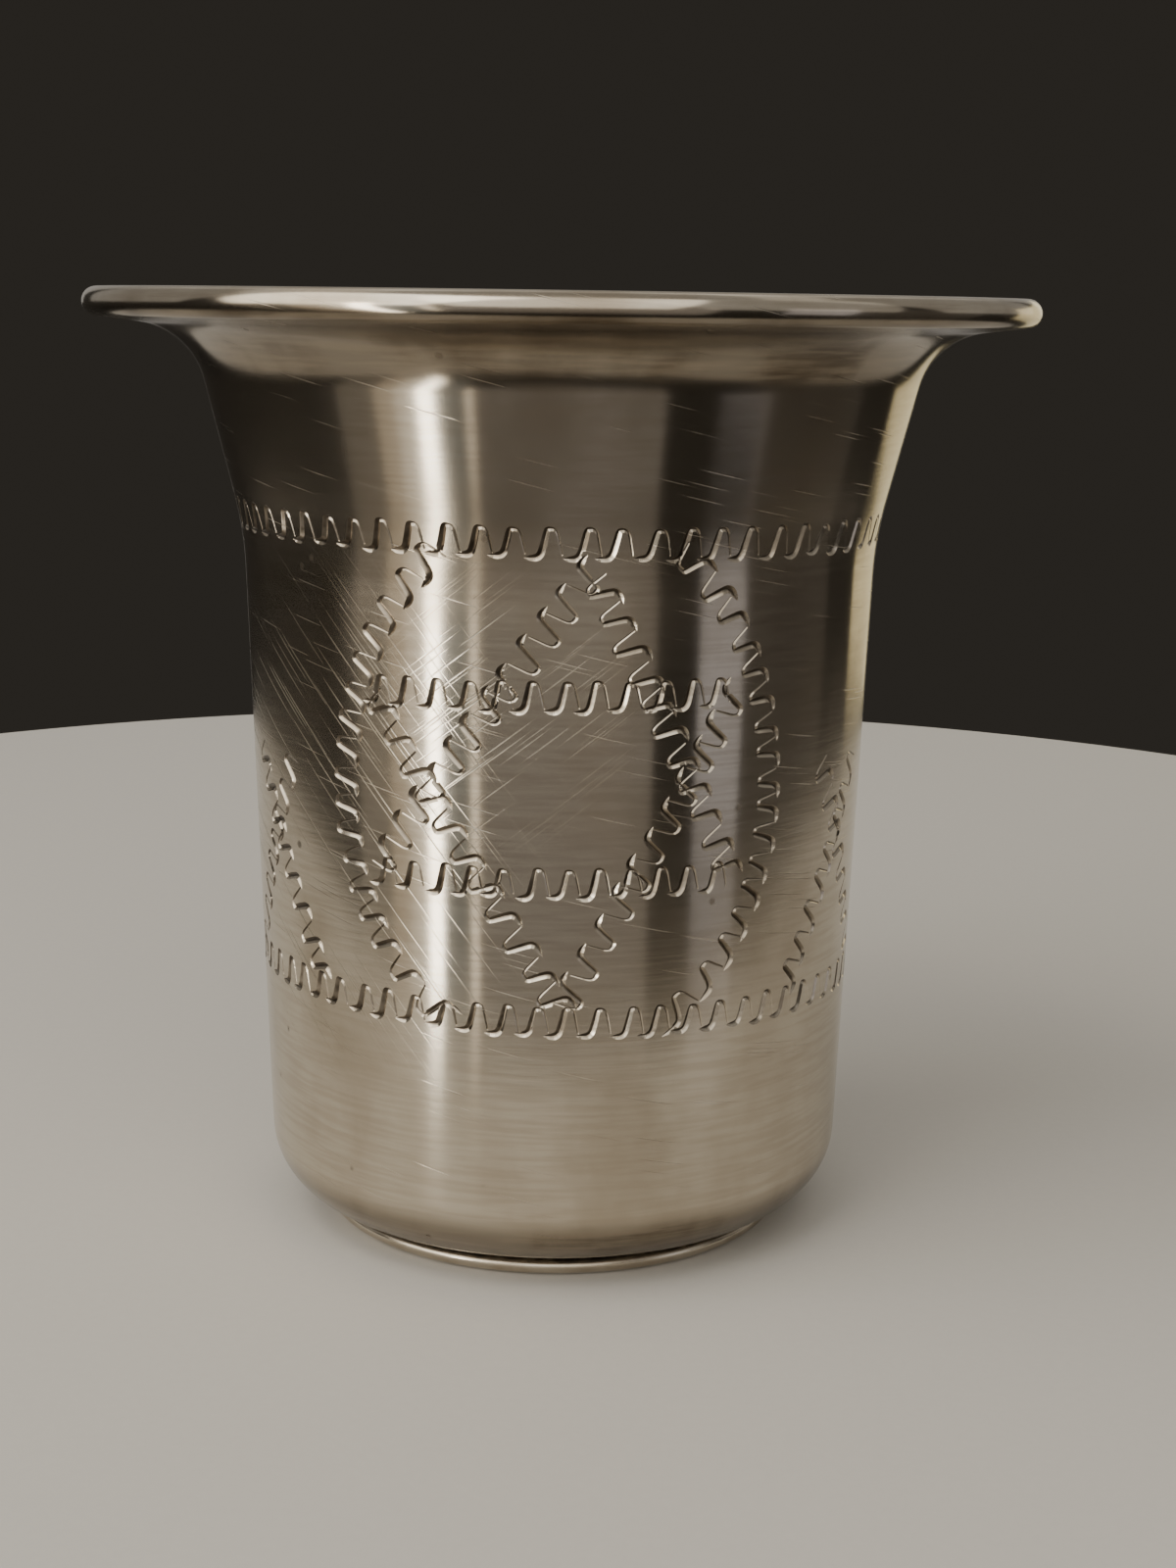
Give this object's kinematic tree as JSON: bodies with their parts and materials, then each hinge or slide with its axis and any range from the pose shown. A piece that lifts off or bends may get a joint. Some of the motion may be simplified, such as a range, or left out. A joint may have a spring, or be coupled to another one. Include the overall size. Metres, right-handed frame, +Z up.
{
  "type": "kiddush cup",
  "caption": "Hollow flared silver beaker for ritual wine, with a rolled bead lip, wriggle-cut bands and a six-pointed star in a medallion, standing on a thin wire foot ring.",
  "frame": {"origin": "middle of the foot ring's underside, on the cup's axis", "axes": "+Z up the axis; -Y towards the front, where the star is; +X to the right seen from the front"},
  "size_m": [0.0756, 0.0758, 0.076],
  "materials": {
    "engraved_silver": "polished silver with fine spun lines, hairline scratches and light tarnish",
    "foot_wire": "dull silver wire with grime at the solder joint"
  },
  "bodies": {
    "root": {"beaker": "engraved_silver", "foot_ring": "foot_wire"}
  },
  "joints": []
}
